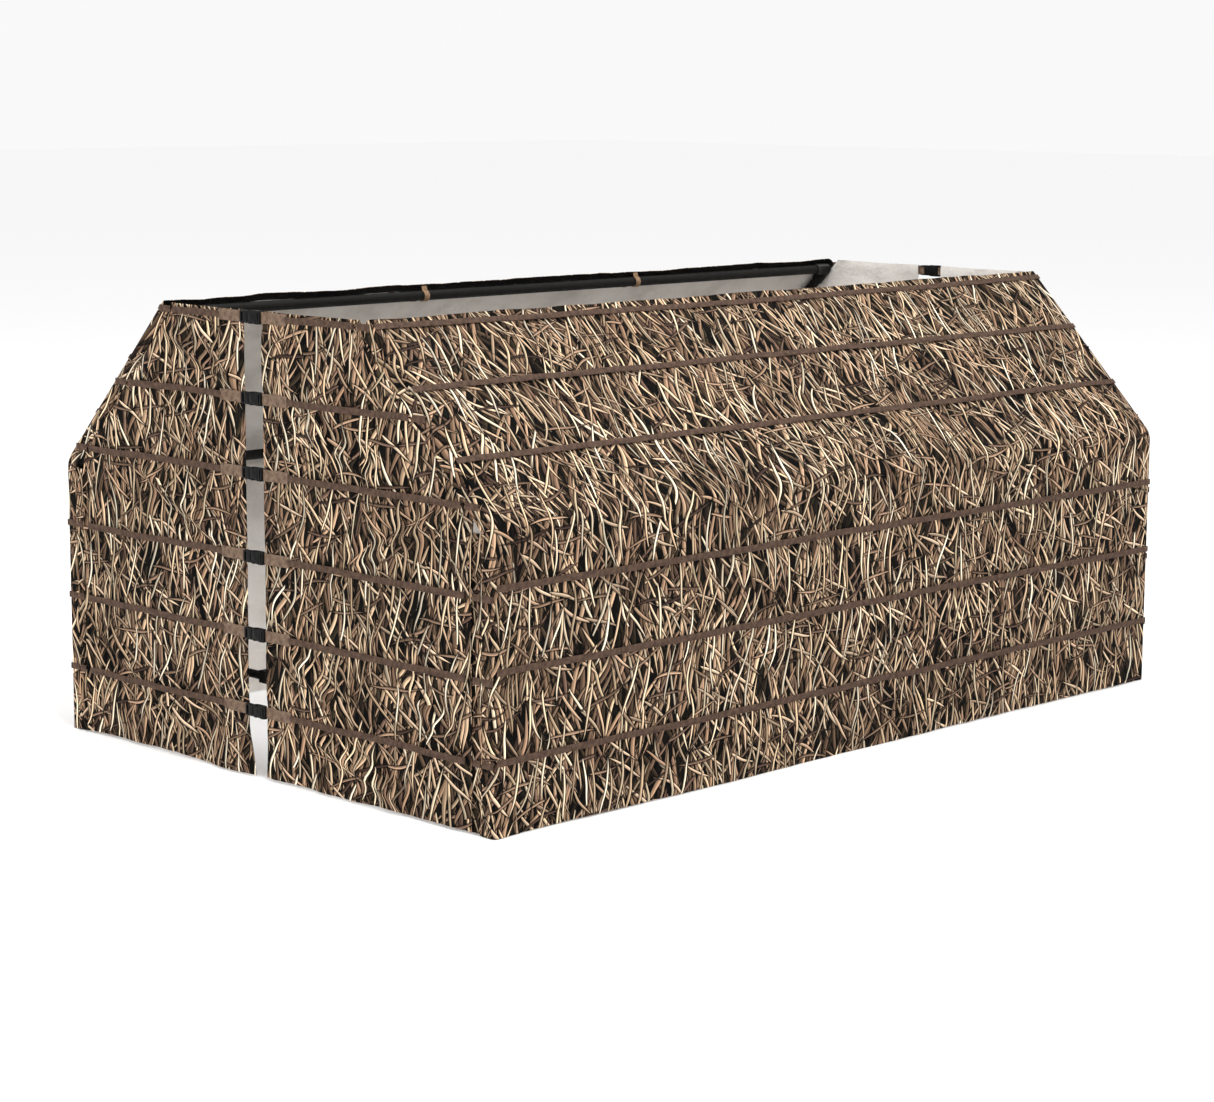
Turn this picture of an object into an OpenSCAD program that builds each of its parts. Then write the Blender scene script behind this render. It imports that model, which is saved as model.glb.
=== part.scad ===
// Open-topped field blind on a folding tube frame, for about four people.
// Two long sides stand upright to the hip and then lean inward. The two end walls are flat
// curtains that part at a central slit and are closed by six side-release buckles each.
// Long axis along X, front long side at -Y, +Z up, origin on the ground at the centre.

/* [Overall size] */
// Length over the two end walls
blind_length = 3050; // [2400:10:3600]
// Width over the two long sides
blind_width = 1930; // [1500:10:2200]
// Height of the top edge
blind_height = 1370; // [1200:10:1600]
// Height of the bend between the lower and upper side walls
hip_height = 850; // [700:10:1000]
// Inward lean of the upper side walls from the vertical
lean_angle = 44; // [30:1:50]

/* [Frame] */
// Outside diameter of the frame tubes
tube_d = 32; // [25:1:40]
// Wall of the frame tubes
tube_wall = 1.6; // [1:0.1:3]
// Distance from the outside of the cloth to the centre of a tube
tube_inset = 26; // [24:1:40]
// Height of the folding cross bars
bar_height = 285; // [240:1:380]
// Outside diameter of the cross bars
bar_d = 25; // [20:1:30]
// Radius of every hinge pin
pin_r = 5; // [3:0.5:8]
// Radius of the stake hole in each foot
stake_hole_r = 5.5; // [4:0.5:8]

/* [Cloth] */
// Thickness of the cloth walls
cloth_t = 4; // [2:0.5:6]
// Height of the hem above the ground
hem_z = 12; // [6:1:40]
// Width that the side cloth wraps round each corner
return_w = 46; // [30:1:80]
// Gap between a wall and a curtain along the slope
slope_gap = 4; // [2:1:10]

/* [Straps and buckles] */
// Width of the stubble straps
strap_w = 20; // [15:1:40]
// Thickness of the stubble straps
strap_t = 2.5; // [1:0.5:4]
// Heights of the straps on the lower side walls
low_rows = [209, 456, 684]; // [100:1:800]
// Distances of the straps up the slope of the upper walls
high_rows = [215, 463, 697]; // [50:1:700]
// Heights of the straps and buckles on the end curtains
end_rows = [201, 428, 655, 898, 1115, 1348]; // [100:1:1400]
// Width of the buckle webbing
web_w = 33; // [20:1:50]
// Travel of a buckle insert out of its socket
insert_travel = 38; // [30:1:50]

/* [Slits] */
// Position of the left slit's rear edge across the blind
left_rear_edge = 78; // [20:1:120]
// Position of the left slit's front edge, measured towards the front
left_front_edge = 6; // [-20:1:120]
// Position of the right slit's rear edge
right_rear_edge = 48; // [20:1:120]
// Position of the right slit's front edge, measured towards the front
right_front_edge = 54; // [20:1:120]

/* [Hidden] */
$fn = 48;
half_l = blind_length / 2;
half_w = blind_width / 2;
tube_r = tube_d / 2;
bore_r = tube_r - tube_wall;
tx = half_l - tube_inset;
ty = half_w - tube_inset;
hinge_z = hip_height - tube_inset * tan(lean_angle / 2);
slope_len = (blind_height - hinge_z - tube_inset * sin(lean_angle)) / cos(lean_angle);
rail_z = hinge_z - 36;
rail_s = slope_len - 26;
socket_r = tube_r + 5;
fit_r = tube_r + 0.3;
plug_r = bore_r - 0.2;
bar_r = bar_d / 2;
eye_r = bar_r + 1;
eye_h = bar_r + 0.4;
pivot_x = tx - 42;
pivot_y = ty - 18;
binding_y = pivot_y - 6;
binding_w = 29;
door_y = binding_y - 35;
door_x = half_l + 5;
bead_r = 3;
hole_r = pin_r + 0.05;
seam = 0.2;
black = [0.05, 0.05, 0.05];
camo = [0.42, 0.34, 0.24];
brown = [0.30, 0.23, 0.18];
tan_web = [0.60, 0.49, 0.36];

// Everything is drawn in the right rear quarter and mirrored from there.
module quarter(sx, sy) {
    mirror([sx < 0 ? 1 : 0, 0, 0]) mirror([0, sy < 0 ? 1 : 0, 0]) children();
}

module both_ends(sy) {
    for (sx = [-1, 1]) quarter(sx, sy) children();
}

// The upper wall's own axes: up the slope is Z and outward is Y, from the hip hinge.
module on_slope() {
    translate([0, ty, hinge_z]) rotate([lean_angle, 0, 0]) children();
}

module tube(length) {
    difference() {
        cylinder(r = tube_r, h = length);
        translate([0, 0, -1]) cylinder(r = bore_r, h = length + 2);
    }
}

module along_x() {
    rotate([0, 90, 0]) children();
}

// Extrudes an outline drawn in Y and Z along X, from x = 0.
module yz_plate(thickness) {
    rotate([90, 0, 90]) linear_extrude(thickness) children();
}

module plate_between(a, b, r) {
    d = b - a;
    n = r * [-d[1], d[0]] / norm(d);
    translate(b) circle(r = r);
    polygon([a + n, b + n, b - n, a - n]);
}

// Frame tubes

module posts(sy) {
    color(black) both_ends(sy) translate([tx, ty, 14]) tube(hinge_z - 32 - 14);
}

module hip_rail(sy) {
    color(black) quarter(1, sy) translate([-(tx - 24), ty, rail_z]) along_x() tube(2 * (tx - 24));
}

module top_rail(sy) {
    color(black) quarter(1, sy) on_slope()
        translate([-(tx - 23), 0, rail_s]) along_x() tube(2 * (tx - 23));
}

module ribs(sy) {
    color(black) both_ends(sy) on_slope() translate([tx, 0, 22]) tube(rail_s - 21 - 22);
}

// Fittings

module foot() {
    difference() {
        union() {
            linear_extrude(5) foot_outline();
            translate([tx, ty, 0]) cylinder(r = tube_r + 4, h = 14);
            translate([tx, ty, 0]) cylinder(r = plug_r, h = 60);
        }
        translate([tx - 60, ty - 14, -1]) cylinder(r = stake_hole_r, h = 8);
    }
}

module foot_outline() {
    for (x = [tx - 74, tx + 8], y = [ty - 36, ty + 8]) translate([x, y]) circle(r = 10);
    translate([tx - 84, ty - 36]) square([102, 44]);
    translate([tx - 74, ty - 46]) square([82, 64]);
}

module feet(sy) {
    color(black) both_ends(sy) foot();
}

module hip_casting() {
    difference() {
        union() {
            translate([tx, ty, hinge_z - 70]) cylinder(r = socket_r, h = 52);
            translate([tx - 60, ty, rail_z]) along_x() cylinder(r = socket_r - 1, h = 60);
            for (x = [tx - 16, tx + 11.5]) translate([x, 0, 0]) yz_plate(4.5) ear_outline();
        }
        translate([tx, ty, hinge_z - 71]) cylinder(r = fit_r, h = 40);
        translate([tx - 61, ty, rail_z]) along_x() cylinder(r = fit_r, h = 38);
    }
    translate([tx - 16, ty, hinge_z]) along_x() cylinder(r = pin_r, h = 32);
}

module ear_outline() {
    translate([ty, hinge_z]) circle(r = 13);
    translate([ty - 13, hinge_z - 26]) square([26, 26]);
}

module hip_castings(sy) {
    color(black) both_ends(sy) hip_casting();
}

module hinge_eye() {
    on_slope() difference() {
        union() {
            translate([tx - 11, 0, 0]) along_x() cylinder(r = 12, h = 22);
            translate([tx - 11, -12, 0]) cube([22, 24, 18]);
            translate([tx, 0, 16]) cylinder(r = tube_r, h = 6);
            translate([tx, 0, 16]) cylinder(r = plug_r, h = 50);
        }
        translate([tx - 12, 0, 0]) along_x() cylinder(r = hole_r, h = 24);
    }
}

module hinge_eyes(sy) {
    color(black) both_ends(sy) hinge_eye();
}

module elbow() {
    on_slope() difference() {
        union() {
            translate([tx, 0, rail_s - 60]) cylinder(r = socket_r - 1, h = 60);
            translate([tx - 60, 0, rail_s]) along_x() cylinder(r = socket_r - 1, h = 60);
            translate([tx, 0, rail_s]) sphere(r = socket_r - 1);
        }
        translate([tx, 0, rail_s - 61]) cylinder(r = fit_r, h = 41);
        translate([tx - 61, 0, rail_s]) along_x() cylinder(r = fit_r, h = 39);
    }
}

module elbows(sy) {
    color(black) both_ends(sy) elbow();
}

module bar_lug() {
    post = [tx, ty];
    pivot = [pivot_x, pivot_y];
    difference() {
        union() {
            translate([tx, ty, bar_height - 24]) cylinder(r = socket_r, h = 48);
            for (z = [-18.2, 13.2]) translate([0, 0, bar_height + z])
                linear_extrude(5) plate_between(post, pivot, 13);
        }
        translate([tx, ty, bar_height - 25]) cylinder(r = fit_r, h = 50);
    }
    translate([pivot_x, pivot_y, bar_height - 20]) cylinder(r = pin_r, h = 40);
}

module bar_lugs(sy) {
    color(black) both_ends(sy) bar_lug();
}

// Folding cross bars. The rear one carries the fork and pin of the middle joint.

module along_y(length) {
    rotate([-90, 0, 0]) cylinder(r = bar_r, h = length);
}

module rear_bar() {
    translate([pivot_x, 0, bar_height]) {
        difference() {
            union() {
                translate([0, pivot_y, -eye_h]) cylinder(r = eye_r, h = 2 * eye_h);
                translate([0, 70, 0]) along_y(pivot_y - 70);
                translate([-bar_r - 0.7, 66, -18.2]) cube([2 * bar_r + 1.4, 34, 36.4]);
                for (z = [-18.2, 13.2]) translate([0, 0, z])
                    linear_extrude(5) plate_between([0, 96], [0, 0], 12.5);
            }
            translate([0, pivot_y, -20]) cylinder(r = hole_r, h = 40);
        }
        translate([0, 0, -20]) cylinder(r = pin_r, h = 40);
    }
}

module front_bar() {
    translate([pivot_x, 0, bar_height]) difference() {
        union() {
            for (y = [0, pivot_y]) translate([0, y, -eye_h]) cylinder(r = eye_r, h = 2 * eye_h);
            along_y(pivot_y);
        }
        for (y = [0, pivot_y]) translate([0, y, -20]) cylinder(r = hole_r, h = 40);
    }
}

// Cloth walls of the long sides

module lower_cover(sy) {
    height = hinge_z - 5 - hem_z;
    color(camo) quarter(1, sy) {
        translate([-half_l, half_w - cloth_t, hem_z]) cube([2 * half_l, cloth_t, height]);
        for (x = [-half_l, half_l - cloth_t])
            translate([x, half_w - return_w, hem_z])
                cube([cloth_t, return_w - cloth_t - seam, height]);
    }
}

module upper_cover(sy) {
    out = tube_inset - cloth_t;
    inner = tube_inset - return_w - 4;
    color(camo) quarter(1, sy) on_slope() {
        translate([-half_l, out, 2]) cube([2 * half_l, cloth_t, slope_len - 2]);
        for (x = [-half_l, half_l - cloth_t]) translate([x, 0, 0]) yz_plate(cloth_t)
            polygon([
                [out - seam, 2],
                [-3, 2],
                [inner, 22],
                [inner, slope_len],
                [out - seam, slope_len]
            ]);
    }
}

module strap_x(y, z) {
    translate([-(half_l - 8), y, z - strap_w / 2]) cube([2 * (half_l - 8), strap_t, strap_w]);
}

module lower_straps(sy) {
    color(brown) quarter(1, sy) for (z = low_rows) strap_x(half_w, z);
}

module upper_straps(sy) {
    color(brown) quarter(1, sy) on_slope() for (s = high_rows) strap_x(tube_inset, s);
}

module ties(sy) {
    color(tan_web) quarter(1, sy) on_slope() for (x = [-487, 487])
        translate([x - 10, 0, rail_s]) along_x() difference() {
            cylinder(r = tube_r + 2.6, h = 20);
            translate([0, 0, -1]) cylinder(r = tube_r + 0.3, h = 22);
        }
}

// End walls. Each half is a door curtain on a strip that hinges at the corner.

module binding() {
    color(camo) {
        translate([half_l - 2, binding_y, hem_z]) cylinder(r = bead_r, h = hinge_z - 8 - hem_z);
        translate([half_l - cloth_t, binding_y - binding_w, hem_z])
            cube([cloth_t, binding_w, hinge_z - 8 - hem_z]);
    }
}

// Outer limit of a curtain at height z, along the sloping edge of the side wall.
slope_n = tube_inset - return_w - 4 - slope_gap;
slope_y0 = ty + slope_n * cos(lean_angle);
slope_z0 = hinge_z + slope_n * sin(lean_angle);
function slope_y(z) = slope_y0 - (z - slope_z0) * tan(lean_angle);
function slope_z(y) = slope_z0 + (slope_y0 - y) / tan(lean_angle);
curtain_y = door_y - 3;
curtain_top = blind_height - 2;

module curtain(edge) {
    color(camo) {
        translate([half_l - cloth_t, 0, 0]) yz_plate(cloth_t) polygon([
            [curtain_y, hem_z],
            [curtain_y, slope_z(curtain_y)],
            [slope_y(curtain_top), curtain_top],
            [edge, curtain_top],
            [edge, hem_z]
        ]);
        top = slope_z(door_y) - 4;
        translate([door_x, door_y, hem_z]) cylinder(r = bead_r, h = top - hem_z);
        translate([door_x - 2, door_y - 8, hem_z]) cube([4, 8, top - hem_z]);
        translate([half_l - cloth_t, door_y - 8, hem_z]) cube([7, 5, top - hem_z]);
    }
}

// Strap and buckle webbing of one row. The webbing stands off where the buckle slides on it.
module curtain_row(edge, z, inner_end) {
    outer = min(door_y - 12, slope_y(z + strap_w / 2) - 4);
    color(brown) translate([half_l, edge + 112, z - strap_w / 2])
        cube([strap_t, outer - edge - 112, strap_w]);
    color(tan_web) {
        translate([half_l + 2.3, inner_end, z - web_w / 2]) cube([2.2, edge + 110 - inner_end, web_w]);
        translate([half_l, edge + 62, z - web_w / 2]) cube([2.4, 48, web_w]);
    }
}

module rear_curtain_straps(edge, centre) {
    for (z = end_rows) curtain_row(edge, z, centre + 14);
}

module front_curtain_straps(edge, centre) {
    for (z = end_rows) curtain_row(edge, z, 33 - centre);
}

// Buckles. The socket is on the front curtain and the insert on the rear one.

module socket_shell() {
    difference() {
        translate([half_l + 1, -44, -20]) cube([12, 52, 40]);
        translate([half_l + 4.2, -28, -16]) cube([6.4, 37, 32]);
        translate([half_l + 4.2, -21, -21]) cube([6.4, 16, 42]);
        translate([half_l + 2, -45, -17]) cube([2.8, 13, 34]);
        translate([half_l + 2, -38, -17]) cube([12, 3, 34]);
    }
}

module insert_body() {
    difference() {
        union() {
            translate([half_l + 0.4, 10, -18]) cube([12.6, 34, 36]);
            for (s = [-1, 1]) translate([half_l + 5, 0, 0]) yz_plate(4.8)
                polygon([
                    [11, s * 10],
                    [-24, s * 9],
                    [-24, s * 12],
                    [-16, s * 18.5],
                    [-8, s * 18.5],
                    [-8, s * 14.5],
                    [11, s * 14.5]
                ]);
            translate([half_l + 5, -20, -3]) cube([4.8, 31, 6]);
        }
        translate([half_l + 2, 9, -17]) cube([2.8, 36, 34]);
        translate([half_l + 2, 30, -17]) cube([12, 6, 34]);
    }
    translate([half_l + 5, 31.5, -17.5]) cube([3, 3, 35]);
}

module sockets(sx, centre) {
    color(black) quarter(sx, 1) for (z = end_rows) translate([0, centre, z]) socket_shell();
}

module insert(sx, centre, row) {
    color(black) quarter(sx, 1) translate([0, centre, end_rows[row]]) insert_body();
}

left_centre = (left_rear_edge - left_front_edge) / 2;
right_centre = (right_rear_edge - right_front_edge) / 2;

posts(1);  // rear_posts
hip_rail(1);  // rear_hip_rail
feet(1);  // rear_feet
hip_castings(1);  // rear_hip_castings
bar_lugs(1);  // rear_bar_lugs
lower_cover(1);  // rear_lower_cover
lower_straps(1);  // rear_lower_straps
posts(-1);  // front_posts
hip_rail(-1);  // front_hip_rail
feet(-1);  // front_feet
hip_castings(-1);  // front_hip_castings
bar_lugs(-1);  // front_bar_lugs
lower_cover(-1);  // front_lower_cover
lower_straps(-1);  // front_lower_straps
top_rail(1);  // rear_top_rail
ribs(1);  // rear_ribs
hinge_eyes(1);  // rear_hinge_eyes
elbows(1);  // rear_elbows
upper_cover(1);  // rear_upper_cover
upper_straps(1);  // rear_upper_straps
ties(1);  // rear_ties
top_rail(-1);  // front_top_rail
ribs(-1);  // front_ribs
hinge_eyes(-1);  // front_hinge_eyes
elbows(-1);  // front_elbows
upper_cover(-1);  // front_upper_cover
upper_straps(-1);  // front_upper_straps
ties(-1);  // front_ties
color(black) quarter(-1, 1) rear_bar();  // left_rear_bar
color(black) quarter(-1, -1) front_bar();  // left_front_bar
color(black) quarter(1, 1) rear_bar();  // right_rear_bar
color(black) quarter(1, -1) front_bar();  // right_front_bar
quarter(-1, 1) binding();  // left_rear_binding
quarter(-1, -1) binding();  // left_front_binding
quarter(1, 1) binding();  // right_rear_binding
quarter(1, -1) binding();  // right_front_binding
quarter(-1, 1) curtain(left_rear_edge);  // left_rear_curtain
quarter(-1, -1) curtain(left_front_edge);  // left_front_curtain
quarter(1, 1) curtain(right_rear_edge);  // right_rear_curtain
quarter(1, -1) curtain(right_front_edge);  // right_front_curtain
quarter(-1, 1) rear_curtain_straps(left_rear_edge, left_centre);  // left_rear_curtain_straps
quarter(-1, -1) front_curtain_straps(left_front_edge, left_centre);  // left_front_curtain_straps
quarter(1, 1) rear_curtain_straps(right_rear_edge, right_centre);  // right_rear_curtain_straps
quarter(1, -1) front_curtain_straps(right_front_edge, right_centre);  // right_front_curtain_straps
sockets(-1, left_centre);  // left_sockets
sockets(1, right_centre);  // right_sockets
insert(-1, left_centre, 0);  // left_insert_1
insert(-1, left_centre, 1);  // left_insert_2
insert(-1, left_centre, 2);  // left_insert_3
insert(-1, left_centre, 3);  // left_insert_4
insert(-1, left_centre, 4);  // left_insert_5
insert(-1, left_centre, 5);  // left_insert_6
insert(1, right_centre, 0);  // right_insert_1
insert(1, right_centre, 1);  // right_insert_2
insert(1, right_centre, 2);  // right_insert_3
insert(1, right_centre, 3);  // right_insert_4
insert(1, right_centre, 4);  // right_insert_5
insert(1, right_centre, 5);  // right_insert_6
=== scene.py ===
"""Visual model of the layout field blind, in metres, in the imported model's frame.

The frame, fittings and bars are the CAD nodes with their own materials. The cloth walls, end
curtains, straps, ties and buckles are built here and ride on the CAD bodies.
"""

import math

import bpy
import numpy as np
from mathutils import Matrix, Vector


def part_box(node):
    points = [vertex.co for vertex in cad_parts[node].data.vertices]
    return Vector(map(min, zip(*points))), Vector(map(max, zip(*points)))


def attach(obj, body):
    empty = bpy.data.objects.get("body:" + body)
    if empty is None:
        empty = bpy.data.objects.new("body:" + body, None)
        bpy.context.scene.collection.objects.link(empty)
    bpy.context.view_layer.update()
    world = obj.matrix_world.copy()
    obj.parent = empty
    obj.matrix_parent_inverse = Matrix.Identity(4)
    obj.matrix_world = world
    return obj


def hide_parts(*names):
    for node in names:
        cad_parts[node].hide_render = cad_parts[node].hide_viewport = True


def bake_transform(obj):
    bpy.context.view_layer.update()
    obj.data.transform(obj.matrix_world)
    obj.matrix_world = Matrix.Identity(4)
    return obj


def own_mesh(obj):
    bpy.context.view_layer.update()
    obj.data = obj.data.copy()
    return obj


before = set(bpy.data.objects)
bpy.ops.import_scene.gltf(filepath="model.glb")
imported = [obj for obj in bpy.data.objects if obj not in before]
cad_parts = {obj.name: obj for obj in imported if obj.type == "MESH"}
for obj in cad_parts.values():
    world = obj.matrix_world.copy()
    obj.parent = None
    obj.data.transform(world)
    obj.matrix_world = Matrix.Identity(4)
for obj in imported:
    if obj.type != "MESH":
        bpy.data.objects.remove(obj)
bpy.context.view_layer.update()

# ---------------------------------------------------------------- sizes, from the CAD nodes

LEAN = math.radians(44)  # of the upper walls, from upright
SIN, COS = math.sin(LEAN), math.cos(LEAN)
HALF_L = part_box("rear_lower_cover")[1].x
HALF_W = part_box("rear_lower_cover")[1].y
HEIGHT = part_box("rear_upper_cover")[1].z
HIP = 0.850  # height where the outer faces of a lower and an upper wall would meet
INSET = 0.026  # from a wall's outer face to the middle of its tube
TUBE_Y = HALF_W - INSET
TUBE_R = 0.016
HINGE_Z = HIP - INSET * math.tan(LEAN / 2)
SLOPE_LEN = (HEIGHT - HINGE_Z - INSET * SIN) / COS  # from the hip hinge to the top edge
RAIL_S = SLOPE_LEN - INSET
ENDS = {"left": -1, "right": 1}
SIDES = {"rear": 1, "front": -1}

# Cloth
CLOTH = 0.0014
BINDING_CLOTH = 0.0010
WRAP = 0.048  # the wall cloth's return round each corner
CORNER_R = 0.012
HIP_R = 0.070
HIP_CUT = HIP_R * math.tan(LEAN / 2)  # from the hip's sharp corner to each end of its arc
HEM_Z = 0.002
DOOR_HEM_Z = 0.0065  # curtains and binding strips clear the feet's flanges
HEM_RISE = 0.0012
HEM_EDGE = (0.022, 0.024)  # where the hem's step begins and ends
TOP_HEM_EDGE = (0.020, 0.018)  # the same, down from a top edge
PINCH = 0.022  # how far from its middle a strap draws the cloth in
SAG_SPAN = 0.98  # from one dip of a top edge to the next
SLIT = {"left": (0.078, 0.006), "right": (0.048, 0.054)}  # rear and front edges, from the middle
DOOR_Y = 0.880  # a curtain's outer edge
BINDING_Y = 0.915  # middle of a corner's bead
BINDING_TOP = 0.829
BEAD_R = 0.003
TUCK = 0.015  # how far a curtain reaches behind the sloping return

# Straps, webbing and buckles
LOW_ROWS = (0.209, 0.456, 0.684)  # heights on the lower walls
HIGH_ROWS = (0.215, 0.463, 0.697)  # distances up the upper walls
TOP_STRAP_DROP = 0.013
TOP_STRAP_SAG = 0.010
END_ROWS = (0.201, 0.428, 0.655, 0.898, 1.115, 1.348)
STRAP_W, STRAP_T = 0.019, 0.0020
TAB_POINTS = 6
WEB_W, WEB_T = 0.033, 0.0019
WEB_SEWN = 0.110  # from the slit's edge to the webbing's sewn end
TACK = 0.135  # between bar tacks
TIE_X, TIE_W, TIE_T = 0.487, 0.021, 0.0016


# ---------------------------------------------------------------- smooth seeded noise


def lattice(u, v, seed):
    """Smooth noise from -1 to 1 with cells of size 1."""
    table = np.random.RandomState(seed).uniform(-1, 1, (64, 64))
    u, v = np.broadcast_arrays(np.asarray(u, float), np.asarray(v, float))
    iu, iv = np.floor(u).astype(int), np.floor(v).astype(int)
    fu, fv = u - iu, v - iv
    fu, fv = fu * fu * (3 - 2 * fu), fv * fv * (3 - 2 * fv)

    def at(a, b):
        return table[a % 64, b % 64]

    low = at(iu, iv) * (1 - fu) + at(iu + 1, iv) * fu
    high = at(iu, iv + 1) * (1 - fu) + at(iu + 1, iv + 1) * fu
    return low * (1 - fv) + high * fv


def fbm(u, v, seed, octaves=3):
    """Lattice noise of several sizes, each half as strong and half as large as the last."""
    total, gain = 0.0, 1.0
    for k in range(octaves):
        total = total + gain * lattice(u * 2**k, v * 2**k, seed + k)
        gain *= 0.5
    return total


def smooth(x, a, b):
    """Rises smoothly from 0 at a to 1 at b."""
    t = np.clip((np.asarray(x, float) - a) / (b - a), 0, 1)
    return t * t * (3 - 2 * t)


def ridge(distance, width):
    """A soft crease across a line at the given distance."""
    return np.exp(-((distance / width) ** 2))


# ---------------------------------------------------------------- materials


def srgb(r, g, b):
    """Linear colour from sRGB numbers of 0 to 255."""

    def lin(c):
        c /= 255
        return c / 12.92 if c <= 0.04045 else ((c + 0.055) / 1.055) ** 2.4

    return (lin(r), lin(g), lin(b), 1.0)


class Graph:
    """A material's node tree with short calls for making linked nodes."""

    def __init__(self, name):
        self.material = bpy.data.materials.new(name)
        self.material.use_nodes = True
        self.tree = self.material.node_tree
        self.tree.nodes.clear()

    def add(self, kind, inputs=None, **props):
        node = self.tree.nodes.new("ShaderNode" + kind)
        for key, value in props.items():
            setattr(node, key, value)
        for key, value in (inputs or {}).items():
            if isinstance(value, bpy.types.NodeSocket):
                self.tree.links.new(value, node.inputs[key])
            else:
                node.inputs[key].default_value = value
        return node

    def math(self, operation, a, b=0.0, c=0.0):
        return self.add("Math", {0: a, 1: b, 2: c}, operation=operation).outputs[0]

    def remap(self, value, low, high, to_low=0.0, to_high=1.0):
        node = self.add(
            "MapRange",
            {0: value, 1: low, 2: high, 3: to_low, 4: to_high},
            interpolation_type="SMOOTHSTEP",
        )
        return node.outputs[0]

    def mix(self, factor, a, b):
        node = self.add("Mix", data_type="RGBA", clamp_factor=True)
        for index, value in ((0, factor), (6, a), (7, b)):
            if isinstance(value, bpy.types.NodeSocket):
                self.tree.links.new(value, node.inputs[index])
            else:
                node.inputs[index].default_value = value
        return node.outputs[2]

    def ramp(self, factor, colours):
        """Colours spread evenly over the factor."""
        node = self.add("ValToRGB", {0: factor})
        stops = node.color_ramp.elements
        while len(stops) < len(colours):
            stops.new(0.5)
        for index, colour in enumerate(colours):
            stops[index].position = index / (len(colours) - 1)
            stops[index].color = colour
        return node.outputs[0]

    def vector(self, operation, a, b=(0, 0, 0), scale=1.0):
        node = self.add("VectorMath", {0: a, 1: b, 3: scale}, operation=operation)
        return node.outputs[0]

    def noise(self, vector, scale, detail=2.0, roughness=0.5):
        return self.add(
            "TexNoise",
            {"Vector": vector, "Scale": scale, "Detail": detail, "Roughness": roughness},
        )

    def uv(self):
        return self.add("UVMap", uv_map="UVMap").outputs[0]

    def split(self, vector):
        return self.add("SeparateXYZ", {0: vector}).outputs

    def finish(self, colour, roughness, height=None, bump=0.3, distance=0.001, **inputs):
        shader = self.add("BsdfPrincipled", {"Base Color": colour, "Roughness": roughness})
        for key, value in inputs.items():
            shader.inputs[key.replace("_", " ")].default_value = value
        if height is not None:
            bumped = self.add(
                "Bump", {"Height": height, "Strength": bump, "Distance": distance}
            )
            self.tree.links.new(bumped.outputs[0], shader.inputs["Normal"])
        output = self.add("OutputMaterial")
        self.tree.links.new(shader.outputs[0], output.inputs[0])
        return self.material


THREAD = 0.0014  # pitch of the cloth's threads
SEWING = 0.0016  # pitch of a seam's stitches


def sine(g, distance, pitch):
    """A sine of the given pitch, in metres."""
    return g.math("SINE", g.math("MULTIPLY", distance, 2 * math.pi / pitch))


def weave_height(g, uv):
    """Height of the cloth's plain weave."""
    x, y, _ = g.split(uv)
    return g.math("MULTIPLY", sine(g, x, THREAD), sine(g, y, THREAD))


BLADE_LEAN = 0.32  # most that a blade leans from its layer's angle, as a slope
BLADE_ARCH = 2.5  # most that its slope changes, per metre
BLADE_SOFT = 0.0005  # width of a blade's soft edge
BLADE_SHADOW = 0.0060  # and of the dark rim round it
CELL_FILL = 0.85  # blade length over cell length

# One layer of printed reed blades: angle from upright in degrees, blade width and length in
# metres, spacing across in metres, share of cells drawn, which warp bends them, their colours.
BLADES = [
    (8, 0.026, 0.24, 0.036, 0.95, 0, [(40, 34, 23), (58, 50, 34), (36, 35, 24), (50, 40, 30)]),
    (-16, 0.022, 0.22, 0.034, 0.95, 1, [(72, 61, 43), (54, 49, 33), (84, 68, 51), (62, 49, 39)]),
    (24, 0.016, 0.20, 0.032, 0.95, 0, [(104, 86, 63), (76, 68, 47), (94, 74, 59)]),
    (-30, 0.013, 0.21, 0.032, 0.9, 1, [(142, 114, 86), (98, 80, 56), (120, 93, 77)]),
    (4, 0.018, 0.26, 0.040, 0.85, 0, [(186, 152, 118), (150, 120, 90), (114, 94, 68)]),
    (-8, 0.012, 0.20, 0.034, 0.9, 1, [(214, 180, 142), (168, 136, 104), (140, 110, 90)]),
    (38, 0.009, 0.17, 0.034, 0.8, 0, [(206, 170, 132), (134, 106, 88), (226, 198, 158)]),
    (16, 0.013, 0.24, 0.038, 0.85, 1, [(226, 194, 154), (196, 160, 122), (170, 136, 104)]),
    (-22, 0.008, 0.17, 0.034, 0.85, 0, [(250, 232, 202), (216, 184, 146), (238, 212, 170)]),
    (-54, 0.008, 0.14, 0.036, 0.55, 1, [(238, 212, 178), (190, 156, 122)]),
    (80, 0.007, 0.16, 0.044, 0.45, 0, [(104, 80, 70), (200, 166, 132)]),
    (10, 0.007, 0.19, 0.034, 0.8, 1, [(254, 242, 218), (244, 220, 182), (222, 190, 150)]),
]


def swizzle(g, vector, order):
    """A vector with its parts in another order, such as YXZ."""
    parts = dict(zip("XYZ", g.split(vector)))
    return g.add("CombineXYZ", {i: parts[c] for i, c in enumerate(order)}).outputs[0]


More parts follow.
